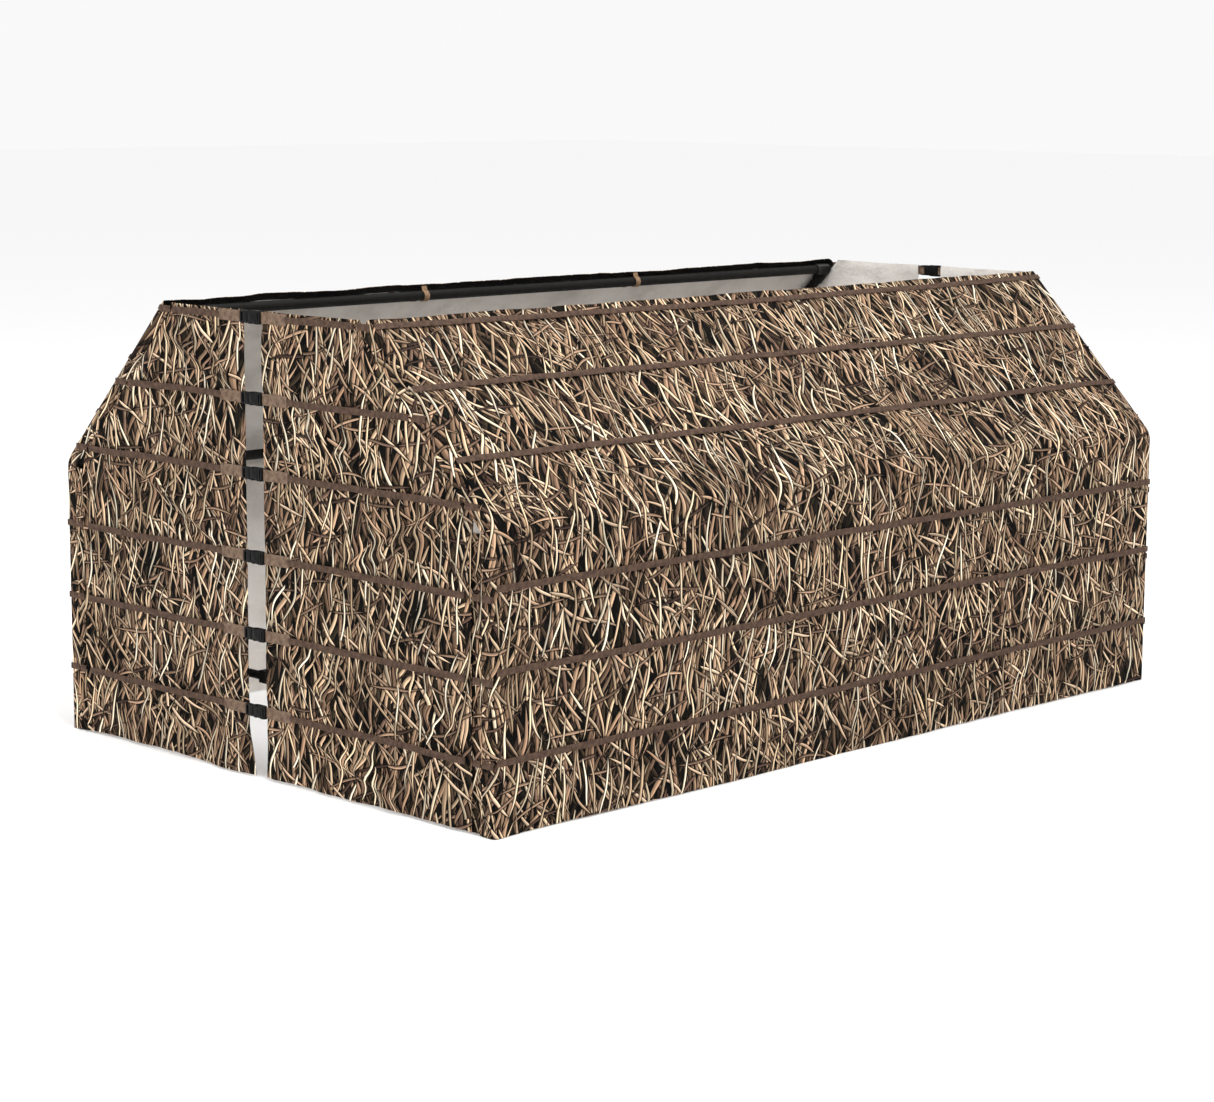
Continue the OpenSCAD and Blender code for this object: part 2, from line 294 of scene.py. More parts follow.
def camo_colour(g, uv):
    """Reed blades printed over a dark ground. Each cell of a layer holds one tapered blade."""
    bend = g.noise(uv, 2.6, 1.0)
    ripple = g.noise(uv, 8.0, 1.0)
    warps = []
    for order in ("XYZ", "YZX"):
        a = g.vector("SUBTRACT", swizzle(g, bend.outputs["Color"], order), (0.5, 0.5, 0.5))
        b = g.vector("SUBTRACT", swizzle(g, ripple.outputs["Color"], order), (0.5, 0.5, 0.5))
        a = g.vector("MULTIPLY", a, (0.15, 0.06, 0))
        b = g.vector("MULTIPLY", b, (0.020, 0.012, 0))
        warps.append(g.vector("ADD", uv, g.vector("ADD", a, b)))
    ground = g.noise(uv, 26.0, 3.0, 0.65)
    tone = g.remap(ground.outputs[0], 0.34, 0.68)
    colour = g.ramp(tone, [srgb(8, 7, 5), srgb(22, 19, 13), srgb(46, 41, 29)])
    for number, (angle, width, length, pitch, share, warp, colours) in enumerate(BLADES):
        cell = (pitch, length / CELL_FILL, 1.0)
        place = g.add(
            "Mapping",
            {
                "Vector": warps[warp],
                "Location": (0.37 * number + 0.11, 0.53 * number + 0.29, 0),
                "Rotation": (0, 0, math.radians(-angle)),
                "Scale": cell,
            },
            vector_type="TEXTURE",
        ).outputs[0]
        cells = g.add(
            "TexVoronoi",
            {"Vector": place, "Scale": 1.0, "Randomness": 0.9},
            voronoi_dimensions="2D",
            feature="F1",
        )
        red, green, blue = g.add("SeparateColor", {0: cells.outputs["Color"]}).outputs[:3]
        local = g.vector("SUBTRACT", place, cells.outputs["Position"])
        x, y, _ = g.split(g.vector("MULTIPLY", local, cell))
        # Each blade leans and arches by its own amount, so x is measured from its midrib.
        lean = g.math("MULTIPLY_ADD", red, 2 * BLADE_LEAN, -BLADE_LEAN)
        arch = g.math("MULTIPLY_ADD", green, 2 * BLADE_ARCH, -BLADE_ARCH)
        slope = g.math("MULTIPLY_ADD", arch, y, lean)
        across = g.math("SUBTRACT", x, g.math("MULTIPLY", slope, y))
        half = width / 2
        taper = g.math("MULTIPLY", g.math("MULTIPLY", y, y), 4 * half / length**2)
        outside = g.math("ADD", g.math("SUBTRACT", g.math("ABSOLUTE", across), half), taper)
        drawn = g.math("LESS_THAN", blue, share)
        inside = g.math("MULTIPLY", g.remap(outside, BLADE_SOFT, -BLADE_SOFT), drawn)
        shadow = g.math("MULTIPLY", g.remap(outside, BLADE_SHADOW, 0.0), drawn)
        colour = g.mix(g.math("MULTIPLY", shadow, 0.86), colour, srgb(8, 6, 4))
        pick = g.math("FRACT", g.math("MULTIPLY", blue, 7.0))
        blade = g.ramp(pick, [srgb(*c) for c in colours])
        lit = g.remap(across, -half, half * 0.6, 0.50, 1.12)
        vein = g.remap(g.math("ABSOLUTE", across), half * 0.06, half * 0.26, 0.78, 1.0)
        own = g.remap(g.math("FRACT", g.math("MULTIPLY", red, 9.0)), 0, 1, 0.60, 1.08)
        shade = g.math("MULTIPLY", g.math("MULTIPLY", lit, vein), own)
        colour = g.mix(inside, colour, g.vector("SCALE", blade, scale=shade))
    colour = g.vector("SCALE", g.add("Gamma", {0: colour, 1: 1.42}).outputs[0], scale=1.26)
    return g.add("HueSaturation", {"Saturation": 0.80, "Color": colour}).outputs[0]


def camo_material(name, tone=1.0):
    """Printed cloth, a little dusty and crumpled. A lower tone is darker."""
    g = Graph(name)
    uv = g.uv()
    colour = camo_colour(g, uv)
    dust = g.noise(uv, 1.7, 3.0).outputs[0]
    worn = g.remap(dust, 0.3, 0.7, 0.90 * tone, 1.06 * tone)
    colour = g.vector(
        "MULTIPLY", colour, g.add("CombineXYZ", {0: worn, 1: worn, 2: worn}).outputs[0]
    )
    crumple = g.noise(uv, 22.0, 4.0, 0.6).outputs[0]
    height = g.math("ADD", g.math("MULTIPLY", weave_height(g, uv), 0.08), crumple)
    rough = g.remap(crumple, 0.2, 0.8, 0.78, 0.92)
    return g.finish(colour, rough, height, 0.45, 0.004, Specular_IOR_Level=0.08)


def lining_material():
    """Pale coated inner face of the cloth, mottled and creased."""
    g = Graph("coated_lining")
    uv = g.uv()
    patch = g.noise(uv, 5.0, 4.0, 0.6).outputs[0]
    colour = g.ramp(
        g.remap(patch, 0.25, 0.75), [srgb(206, 200, 193), srgb(230, 224, 217), srgb(240, 235, 229)]
    )
    fold = g.noise(uv, 9.0, 5.0, 0.62)
    crease = g.noise(g.vector("ADD", uv, fold.outputs["Color"]), 6.0, 3.0, 0.55).outputs[0]
    height = g.math("ADD", crease, g.math("MULTIPLY", weave_height(g, uv), 0.03))
    return g.finish(colour, 0.46, height, 0.75, 0.014, Sheen_Weight=0.05)


def webbing_material(name, dark, light, rib, tacks=True):
    """Woven tape, with painted shade in the low parts of its weave. U runs along it and V across
    it, in metres.
    """
    g = Graph(name)
    uv = g.uv()
    along, across, _ = g.split(uv)
    mottled = g.noise(uv, 60.0, 3.0).outputs[0]
    colour = g.ramp(g.remap(mottled, 0.3, 0.7), [srgb(*dark), srgb(*light)])
    ribs = g.math("ADD", sine(g, along, rib), sine(g, across, rib * 1.6))
    height = g.math("MULTIPLY", ribs, 0.5)
    # Painted shade: the low parts of the weave are mixed towards near black.
    groove_shade = g.remap(height, -1.0, 0.4, 0.74, 1.0)
    colour = g.mix(g.math("SUBTRACT", 1.0, groove_shade), colour, srgb(24, 18, 14))
    if tacks:
        phase = g.math("FRACT", g.math("DIVIDE", along, TACK))
        band = g.math("LESS_THAN", g.math("ABSOLUTE", g.math("SUBTRACT", phase, 0.5)), 0.022)
        thread = g.math("GREATER_THAN", sine(g, across, SEWING), -0.2)
        thread = g.math("MULTIPLY", band, thread)
        colour = g.mix(g.math("MULTIPLY", thread, 0.75), colour, srgb(52, 42, 35))
        height = g.math("ADD", height, g.math("MULTIPLY", thread, 1.2))
    return g.finish(colour, 0.78, height, 0.5, 0.0007, Specular_IOR_Level=0.15)


def moulded_material(name, colour, rough, grain=900.0, wear=0.12):
    """Moulded plastic or powder coat, with a fine grain, faint scuffs and worn edges."""
    g = Graph(name)
    where = g.add("TexCoord").outputs["Object"]
    fine = g.noise(where, grain, 2.0).outputs[0]
    scuff = g.noise(g.vector("MULTIPLY", where, (1, 1, 0.2)), 42.0, 6.0, 0.7).outputs[0]
    marks = g.remap(scuff, 0.60, 0.70)
    edge = g.remap(g.add("NewGeometry").outputs["Pointiness"], 0.57, 0.66)
    base = g.mix(g.math("MULTIPLY", marks, wear), srgb(*colour), srgb(120, 116, 110))
    base = g.mix(g.math("MULTIPLY", edge, wear * 2), base, srgb(140, 136, 130))
    gloss = g.remap(scuff, 0.3, 0.75, rough - 0.08, rough + 0.16)
    return g.finish(base, gloss, fine, 0.18, 0.0006, Specular_IOR_Level=0.12)


CAMO = camo_material("camo_cloth_print")
CAMO_EDGE = camo_material("camo_binding_print", 0.93)
LINING = lining_material()
STRAP = webbing_material("brown_webbing", (70, 53, 44), (96, 75, 62), 0.0022)
WEBBING = webbing_material("buckle_webbing", (98, 79, 66), (132, 110, 92), 0.0024, False)
TIE = webbing_material("tan_webbing", (126, 101, 78), (164, 134, 104), 0.0024, False)
TAPE = webbing_material("black_edge_tape", (10, 10, 10), (20, 19, 19), 0.0022)
STEEL = moulded_material("black_powder_coat", (4, 4, 4), 0.55, 1400.0, 0.015)
CASTING = moulded_material("black_fitting_plastic", (15, 14, 14), 0.55, 700.0, 0.10)
RUBBER = moulded_material("foot_plastic", (34, 32, 30), 0.66, 500.0, 0.22)
BUCKLE = moulded_material("buckle_plastic", (9, 9, 9), 0.42, 1200.0, 0.05)


# ---------------------------------------------------------------- mesh building


class Builder:
    """Collects vertices, faces, UVs and material numbers for one object."""

    def __init__(self):
        self.points, self.uvs, self.faces, self.slots = [], [], [], []

    def put(self, points, uvs):
        start = len(self.points)
        self.points.extend(map(tuple, points))
        self.uvs.extend(map(tuple, uvs))
        return start

    def face(self, *corners):
        self.faces.append(corners)
        self.slots.append(0)

    def grid(self, p, uv, loop=False):
        """A patch of quads from an array of rows x columns x 3, closed round if loop is set."""
        rows, cols = p.shape[:2]
        start = self.put(p.reshape(-1, 3), uv.reshape(-1, 2))
        for i in range(rows - 1):
            for j in range(cols if loop else cols - 1):
                k = (j + 1) % cols
                a, b = start + i * cols, start + (i + 1) * cols
                self.face(a + j, a + k, b + k, b + j)
        return start

    def build(self, name, materials, angle=40):
        mesh = bpy.data.meshes.new(name)
        mesh.from_pydata(self.points, [], self.faces)
        layer = mesh.uv_layers.new(name="UVMap")
        corners = np.empty(len(mesh.loops), np.int32)
        mesh.loops.foreach_get("vertex_index", corners)
        layer.data.foreach_set("uv", np.array(self.uvs, np.float32)[corners].ravel())
        for material in materials:
            mesh.materials.append(material)
        mesh.polygons.foreach_set("material_index", np.array(self.slots, np.int32))
        mesh.polygons.foreach_set("use_smooth", np.ones(len(mesh.polygons), bool))
        mesh.validate()
        mesh.set_sharp_from_angle(angle=math.radians(angle))
        obj = bpy.data.objects.new(name, mesh)
        bpy.context.scene.collection.objects.link(obj)
        return obj


def sheet_object(name, p, uv, materials, outward, thickness=CLOTH, taped=0):
    """A thin closed sheet. p is its outer face, rows x columns x 3; outward is a rough normal.

    The inner face's last taped rows take the third material.
    """
    du, dv = np.gradient(p, axis=1), np.gradient(p, axis=0)
    normal = np.cross(du, dv)
    normal /= np.linalg.norm(normal, axis=2, keepdims=True) + 1e-12
    if (normal * outward).sum() < 0:
        normal = -normal
        p, uv, normal = p[:, ::-1], uv[:, ::-1], normal[:, ::-1]
    rows, cols = p.shape[:2]
    inner = p - normal * thickness
    both = np.concatenate([p.reshape(-1, 3), inner.reshape(-1, 3)])
    index = np.arange(rows * cols).reshape(rows, cols)
    a, b, c, d = index[:-1, :-1], index[:-1, 1:], index[1:, 1:], index[1:, :-1]
    top = np.stack([a, b, c, d], -1).reshape(-1, 4)
    n = rows * cols
    under = np.stack([a, d, c, b], -1).reshape(-1, 4) + n
    ring = np.concatenate([index[0, :], index[1:, -1], index[-1, -2::-1], index[-2:0:-1, 0]])
    after = np.roll(ring, -1)
    rim = np.stack([ring, ring + n, after + n, after], -1)
    made = Builder()
    made.points = both.tolist()
    made.uvs = np.concatenate([uv.reshape(-1, 2)] * 2).tolist()
    made.faces = top.tolist() + under.tolist() + rim.tolist()
    inner_slots = np.ones((rows - 1, cols - 1), int)
    if taped:
        inner_slots[-taped:] = 2
    made.slots = [0] * len(top) + inner_slots.ravel().tolist() + [0] * len(rim)
    return made.build(name, materials, 60)


def ribbon(made, centre, across, out, width, thick):
    """A flat tape along a line of points.

    across and out are unit vectors, one for each point or one for them all.
    """
    across, out = (np.broadcast_to(np.asarray(x, float), centre.shape) for x in (across, out))
    step = np.linalg.norm(np.diff(centre, axis=0), axis=1)
    run = np.concatenate([[0], np.cumsum(step)])
    section = [
        (-0.5, 0.0), (-0.5, 0.7), (-0.42, 1.0), (0, 1.12), (0.42, 1.0), (0.5, 0.7),
        (0.5, 0.0), (0, 0.05),
    ]
    p = np.stack([centre + across * (a * width) + out * (h * thick) for a, h in section], 1)
    uv = np.stack([np.stack([run, np.full_like(run, a * width)], 1) for a, _ in section], 1)
    handed = np.dot(np.cross(centre[1] - centre[0], across[0]), out[0])
    if handed < 0:
        p, uv = p[:, ::-1], uv[:, ::-1]
    first = made.grid(p, uv, loop=True)
    count = len(section)
    last = first + (len(centre) - 1) * count
    made.face(*range(first + count - 1, first - 1, -1))
    made.face(*range(last, last + count))


# ---------------------------------------------------------------- walls of the long sides


def profile(t):
    """Point and outward normal (y, z) of the rear wall's outer face, t metres up from the hem."""
    t = np.asarray(t, float)
    low = HIP - HIP_CUT - HEM_Z
    arc = HIP_R * LEAN
    angle = np.clip((t - low) / HIP_R, 0, LEAN)
    y = HALF_W - HIP_R + HIP_R * np.cos(angle)
    z = HIP - HIP_CUT + HIP_R * np.sin(angle)
    below = np.minimum(t - low, 0)
    above = np.maximum(t - low - arc, 0)
    z = z + below + above * COS
    y = y - above * SIN
    return y, z, np.cos(angle), np.sin(angle)


WALL_T = (HIP - HIP_CUT - HEM_Z + HIP_R * LEAN) + ((HEIGHT - HIP) / COS - HIP_CUT)
SLOPE_T = WALL_T - SLOPE_LEN  # where distances up the slope start from


def wall_object(side):
    """One cloth from hem to top edge, with a return round each corner, bent over the hip joint."""
    sy = SIDES[side]
    seed = 11 if sy > 0 else 47
    flat = HALF_L - CORNER_R
    bend = CORNER_R * math.pi / 2
    edge = WRAP - CORNER_R
    right = np.concatenate([
        np.linspace(0, flat, 116)[1:],
        flat + np.linspace(0, bend, 6)[1:],
        flat + bend + np.linspace(0, edge, 5)[1:],
    ])
    c = np.concatenate([-right[::-1], [0], right])
    rows = np.concatenate([
        [0, 0.004], np.linspace(0.012, 0.028, 3), np.linspace(0.036, WALL_T - 0.03, 128),
        np.linspace(WALL_T - 0.026, WALL_T, 4),
    ])
    cc, tt = np.meshgrid(c, rows)
    y, z, ny, nz = profile(tt)
    a = np.abs(cc)
    turn = np.clip((a - flat) / CORNER_R, 0, math.pi / 2)
    x = np.minimum(a, flat) + CORNER_R * np.sin(turn)
    inward = CORNER_R * (1 - np.cos(turn)) + np.maximum(a - flat - bend, 0)

    face = 1 - smooth(a, flat - 0.10, flat - 0.01)
    taut = smooth(tt, 0.0, 0.05) * (1 - smooth(tt, WALL_T - 0.06, WALL_T - 0.01))
    waves = 0.0034 * fbm(cc * 4.5, tt * 3.2, seed, 3)
    waves += 0.0016 * fbm(cc * 13 + tt * 5, tt * 8, seed + 9, 2)
    strap_t = [r - HEM_Z for r in LOW_ROWS] + [SLOPE_T + s for s in HIGH_ROWS]
    pinch = sum(ridge(tt - r, PINCH) for r in strap_t)
    tack = 0.5 + 0.5 * np.cos(2 * math.pi * cc / TACK)
    waves -= 0.0022 * pinch * (0.4 + 0.6 * tack)
    billow = 0.0
    for k, (lo, hi) in enumerate(zip([0.0] + strap_t, strap_t + [WALL_T])):
        swell = np.sin(math.pi * np.clip((tt - lo) / (hi - lo), 0, 1))
        billow = billow + swell * (0.6 + 0.4 * lattice(cc * 2, k, seed + 20))
    bulge = (waves + 0.0030 * billow * taut) * face
    flare = 0.007 * (1 - smooth(tt, 0, 0.10)) * lattice(cc * 3.1, 0.5, seed + 31) * face
    hem = HEM_RISE * (1 - smooth(tt, *HEM_EDGE))
    hem = hem + HEM_RISE * smooth(tt, WALL_T - TOP_HEM_EDGE[0], WALL_T - TOP_HEM_EDGE[1])
    out = bulge + flare + hem * face
    lift = (1 - smooth(tt, 0, 0.22)) * (0.0020 + 0.0040 * lattice(cc * 1.9, 3.5, seed + 40)) * face
    sag = -0.0015 * smooth(tt, WALL_T - 0.30, WALL_T)
    sag = sag * (1 - np.cos(2 * math.pi * cc / SAG_SPAN)) * face

    n = -inward + out
    yy = y + ny * n
    zz = z + nz * n + np.maximum(lift, -0.0015) + sag * COS
    yy = yy - sag * SIN
    p = np.stack([np.sign(cc) * x, sy * yy, zz], -1)
    shift_u, shift_v = (3.7, 2.3) if sy > 0 else (0.0, 0.0)
    uv = np.stack([cc + shift_u, tt + shift_v], -1)
    middle = np.stack([np.zeros_like(cc), sy * ny, nz], -1)
    obj = sheet_object(f"{side}_wall_cloth", p, uv, [CAMO, LINING, TAPE], middle, taped=4)
    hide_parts(f"{side}_lower_cover", f"{side}_upper_cover")
    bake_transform(obj)
    return obj


def slope_point(s, n, sy):
    """(y, z) at s up the slope and n outward from the hip hinge."""
    return sy * (TUBE_Y + n * COS - s * SIN), HINGE_Z + n * SIN + s * COS


def bow(run, seed, amount=0.0026):
    """How far a tape stands off the cloth between its bar tacks."""
    phase = np.abs(np.sin(math.pi * run / TACK))
    loop = np.floor(run / TACK + 0.01)
    return amount * phase**0.8 * (0.55 + 0.45 * lattice(loop * 1.7, 0.3, seed))


def short_tape(made, sx, sy, x, inner, outer, z, thick):
    """A short piece of strap across an end, from inner to outer y."""
    ys = np.linspace(inner, outer, TAB_POINTS)
    p = np.stack([np.full(TAB_POINTS, sx * x), sy * ys, np.full(TAB_POINTS, z)], 1)
    ribbon(made, p, (0, 0, 1), (sx, 0, 0), STRAP_W, thick)


def wall_straps(side, upper):
    """The stubble straps of a lower or upper wall, with their ends on the corner returns."""
    sy = SIDES[side]
    made = Builder()
    xs = np.linspace(-(HALF_L - 0.008), HALF_L - 0.008, 260)
    run = xs - xs[0]
    for k, row in enumerate(HIGH_ROWS if upper else LOW_ROWS):
        seed = 60 + 7 * k + (100 if upper else 0) + (50 if sy > 0 else 0)
        stand = 0.0022 + bow(run, seed)
        droop = 0.0022 * fbm(run * 5.0, 0.5, seed + 3, 2)
        if upper and k == 2:
            droop -= TOP_STRAP_DROP + TOP_STRAP_SAG * np.sin(math.pi * run / run[-1])
        if upper:
            y, z = slope_point(row + droop, INSET + stand, sy)
            across, out = (0, -sy * SIN, COS), (0, sy * COS, SIN)
        else:
            y, z = sy * (HALF_W + stand), row + droop
            across, out = (0, 0, 1), (0, sy, 0)
        ribbon(made, np.stack([xs, y, z], 1), across, out, STRAP_W, STRAP_T)
    for row in END_ROWS[3:] if upper else END_ROWS[:3]:
        inner, outer = return_span(row)
        for sx in (-1, 1):
            short_tape(made, sx, sy, HALF_L + 0.0008, inner + 0.002, outer - 0.003, row, 0.0018)
    part = "upper" if upper else "lower"
    obj = made.build(f"{side}_{part}_strap_runs", [STRAP])
    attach(obj, f"{side}_upper" if upper else f"{side}_side")
    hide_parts(f"{side}_{part}_straps")
    return obj


def outer_y(z):
    """The wall's outer face at height z."""
    heights = [0, HIP - HIP_CUT, HIP + HIP_CUT * COS, HEIGHT]
    top = HALF_W - (HEIGHT - HIP) * math.tan(LEAN)
    return np.interp(z, heights, [HALF_W, HALF_W, HALF_W - HIP_CUT * SIN, top])


def return_span(z):
    """Inner and outer limits of the side cloth's return at height z."""
    if z < HIP - 0.03:
        return HALF_W - WRAP, HALF_W
    outer = float(outer_y(z))
    return outer - WRAP / COS, outer - STRAP_W / 2 * math.tan(LEAN)


def tie_loops(side):
    """Two tapes that go round the top rail, with their tails sewn to the lining."""
    sy = SIDES[side]
    made = Builder()
    r = TUBE_R + 0.0012
    angle = np.linspace(math.radians(-62), math.radians(-298), 30)
    path = [(-0.052, INSET - 0.0052)]
    path += [(r * math.sin(a), r * math.cos(a)) for a in angle]
    path += [(0.022, INSET - 0.0052)]
    path = np.array(path)
    tangent = np.gradient(path, axis=0)
    tangent /= np.linalg.norm(tangent, axis=1, keepdims=True)
    normal = np.stack([tangent[:, 1], -tangent[:, 0]], 1)
    centre = path.mean(0)
    flip = np.sign(((path - centre) * normal).sum(1))
    normal *= np.where(flip == 0, 1, flip)[:, None]
    for x in (-TIE_X, TIE_X):
        y, z = slope_point(RAIL_S + path[:, 0], path[:, 1], sy)
        p = np.stack([np.full(len(path), x), y, z], 1)
        out = np.stack([
            np.zeros(len(path)),
            sy * (normal[:, 1] * COS - normal[:, 0] * SIN),
            normal[:, 1] * SIN + normal[:, 0] * COS,
        ], 1)
        ribbon(made, p, (1, 0, 0), out, TIE_W, TIE_T)
    obj = made.build(f"{side}_tie_loops", [TIE])
    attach(obj, f"{side}_upper")
    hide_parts(f"{side}_ties")
    return obj


# ---------------------------------------------------------------- end walls


def curtain_limit(z):
    """The curtain's outer edge at height z, tucked behind the sloping return."""
    slope = outer_y(z) - (WRAP - TUCK) / COS
    return np.minimum(DOOR_Y - 0.0015, slope)


def slit_edge(end, side, z):
    """The curtain's free edge at height z, wavy between the buckles."""
    base = SLIT[end][0 if side == "rear" else 1]
    seed = {"left": 5, "right": 8}[end] + (30 if side == "rear" else 0)
    wave = 0.0050 * lattice(z * 3.3, 1.5, seed) + 0.0022 * lattice(z * 9.0, 4.5, seed + 1)
    rows = np.array(END_ROWS)
    near = np.min(np.abs(np.asarray(z)[..., None] - rows), axis=-1)
    wave = wave * smooth(near, 0.01, 0.07)
    if (end, side) == ("left", "rear"):
        wave = wave - 0.030 * (1 - smooth(z, 0.0, 0.16))
    return base + wave


# Each curtain's long creases, as two ends (y, z), with y outward from the middle.
CREASES = {
    ("left", "rear"): [
        ((0.53, 1.34), (0.12, 1.14)), ((0.30, 1.30), (0.11, 1.15)), ((0.47, 1.12), (0.22, 0.91)),
        ((0.80, 0.33), (0.30, 0.06)), ((0.60, 0.88), (0.20, 0.67)),
    ],
    ("left", "front"): [
        ((0.30, 0.62), (0.78, 0.86)), ((0.20, 0.16), (0.62, 0.03)), ((0.14, 1.08), (0.48, 0.93)),
        ((0.55, 0.42), (0.80, 0.24)), ((0.10, 0.40), (0.36, 0.24)),
    ],
    ("right", "rear"): [((0.60, 0.80), (0.20, 0.60)), ((0.70, 0.30), (0.25, 0.10))],
    ("right", "front"): [((0.55, 1.15), (0.15, 0.95)), ((0.68, 0.40), (0.22, 0.12))],
}


def crease_depth(yy, zz, ends, seed):
    """How far a fold along the line between two ends shows, and its height with its trough."""
    (y0, z0), (y1, z1) = ends
    line = np.array([y1 - y0, z1 - z0])
    length = np.linalg.norm(line)
    line /= length
    along = (yy - y0) * line[0] + (zz - z0) * line[1]
    off = (yy - y0) * -line[1] + (zz - z0) * line[0]
    off = off + 0.012 * lattice(along * 6, 0.5, seed)
    fade = smooth(along, -0.03, 0.06) * (1 - smooth(along, length - 0.06, length + 0.03))
    return fade, 0.0150 * ridge(off, 0.021) - 0.0085 * ridge(off - 0.040, 0.024)


def curtain(end, side):
    """An end curtain from its corner to the slit, with its hem and a sloping tucked edge."""
    sx, sy = ENDS[end], SIDES[side]
    seed = 200 + 10 * (sx > 0) + 5 * (sy > 0)
    top = HEIGHT - 0.003
    zs = np.concatenate([
        [DOOR_HEM_Z, DOOR_HEM_Z + 0.004],
        np.linspace(DOOR_HEM_Z + 0.012, DOOR_HEM_Z + 0.028, 3),
        np.linspace(0.044, top - 0.03, 120), [top - 0.02, top - 0.01, top],
    ])
    q = np.concatenate([
        np.linspace(0, 0.034, 6), np.linspace(0.045, 0.955, 66), np.linspace(0.965, 1, 6)
    ])
    edge, limit = slit_edge(end, side, zs), curtain_limit(zs)
    yy = edge[:, None] + (limit - edge)[:, None] * q[None, :]
    zz = np.repeat(zs[:, None], len(q), 1)
    inside = smooth(yy - edge[:, None], 0.0, 0.05)
    below = 1 - smooth(zz, 0.78, 0.86)
    outside = smooth(limit[:, None] - yy, 0.01, 0.10)
    rowpinch = sum(ridge(zz - r, PINCH) for r in END_ROWS)
    # Folds: broad swells between the strap rows, slanting creases and hanging ripples.
    d = 0.0060 * fbm(yy * 5.5 + zz * 1.5, zz * 3.4, seed, 3)
    d += 0.0030 * fbm(yy * 15 - zz * 6, zz * 6.5, seed + 4, 2)
    d += 0.0032 * np.abs(lattice(yy * 6 + zz * 5.5, zz * 1.3, seed + 6)) - 0.0012
    for k, ends in enumerate(CREASES[(end, side)]):
        fade, fold = crease_depth(yy, zz, ends, seed + 70 + k)
        fade *= 1 - 0.85 * rowpinch
        d += fade * fold
    d = d * (0.25 + 0.75 * inside) * (0.15 + 0.85 * outside) * (1 - 0.55 * rowpinch)
    d -= 0.0028 * rowpinch * outside
    d += 0.0060 * (1 - smooth(zz, 0, 0.10)) * lattice(yy * 4.2, 0.5, seed + 30) * outside
    tuck = 0.0045 * (1 - below) * (1 - smooth(limit[:, None] - yy, 0.012, 0.030))
    pipe = below * (1 - smooth(limit[:, None] - yy, 0.0, 0.010)) * 0.0042
    hem = HEM_RISE * np.maximum(
        1 - smooth(zz, DOOR_HEM_Z + HEM_EDGE[0], DOOR_HEM_Z + HEM_EDGE[1]),
        1 - smooth(yy - edge[:, None], *HEM_EDGE),
    )
    xx = HALF_L - 0.0012 + d - tuck + pipe + hem
    lift = (1 - smooth(zz, 0, 0.22)) * (0.0020 + 0.0050 * lattice(yy * 2.6, 2.5, seed + 40))
    lift *= 0.3 + 0.7 * outside
    sag = -0.002 * smooth(zz, 1.20, top) * np.sin(math.pi * np.clip(q, 0, 1))[None, :]
    p = np.stack([sx * xx, sy * yy, zz + np.maximum(lift, -0.0005) + sag], -1)
    uv = np.stack([sx * sy * yy + 7.1 + 1.3 * sx + 0.6 * sy, zz + 5.2 + 2.1 * sx], -1)
    obj = sheet_object(f"{end}_{side}_curtain_cloth", p, uv, [CAMO, LINING], np.array([sx, 0, 0]))
    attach(obj, f"{end}_{side}_door")
    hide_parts(f"{end}_{side}_curtain")
    return obj


def binding(end, side):
    """The strip between a curtain and the side cloth, with its round bead at the corner."""
    sx, sy = ENDS[end], SIDES[side]
    zs = np.linspace(DOOR_HEM_Z, BINDING_TOP, 70)
    curl = np.linspace(math.pi / 2, -math.pi * 0.85, 12)
    flat = np.linspace(0.868, 0.910, 8)
    line = [(y, HALF_L - 0.0042 + 0.0022 * smooth(y, 0.884, 0.900)) for y in flat]
    line += [
        (BINDING_Y + BEAD_R * math.cos(a), HALF_L - 0.002 + BEAD_R * math.sin(a)) for a in curl
    ]
    line = np.array(line)
    run = np.concatenate([[0], np.cumsum(np.linalg.norm(np.diff(line, axis=0), axis=1))])
    yy, zz = np.meshgrid(line[:, 0], zs)
    ripple = 0.0009 * fbm(zz * 7, yy * 20, 300 + sx + 3 * sy, 2) * (1 - smooth(yy, 0.898, 0.910))
    xx = np.meshgrid(line[:, 1], zs)[0] + ripple
    p = np.stack([sx * xx, sy * yy, zz], -1)
    uv = np.stack([np.meshgrid(run, zs)[0] + 12.3 + sx + 0.4 * sy, zz + 1.9], -1)
    outward = np.zeros_like(p)
    outward[:, :len(flat), 0] = sx
    obj = sheet_object(
        f"{end}_{side}_binding_strip", p, uv, [CAMO_EDGE, LINING], outward, BINDING_CLOTH
    )
    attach(obj, f"{end}_{side}_binding")
    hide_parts(f"{end}_{side}_binding")
    made = Builder()
    for row in END_ROWS[:3]:
        short_tape(made, sx, sy, HALF_L + 0.0014, 0.8835, 0.9115, row, 0.0016)
    tabs = made.build(f"{end}_{side}_binding_straps", [STRAP])
    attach(tabs, f"{end}_{side}_binding")
    return obj, tabs


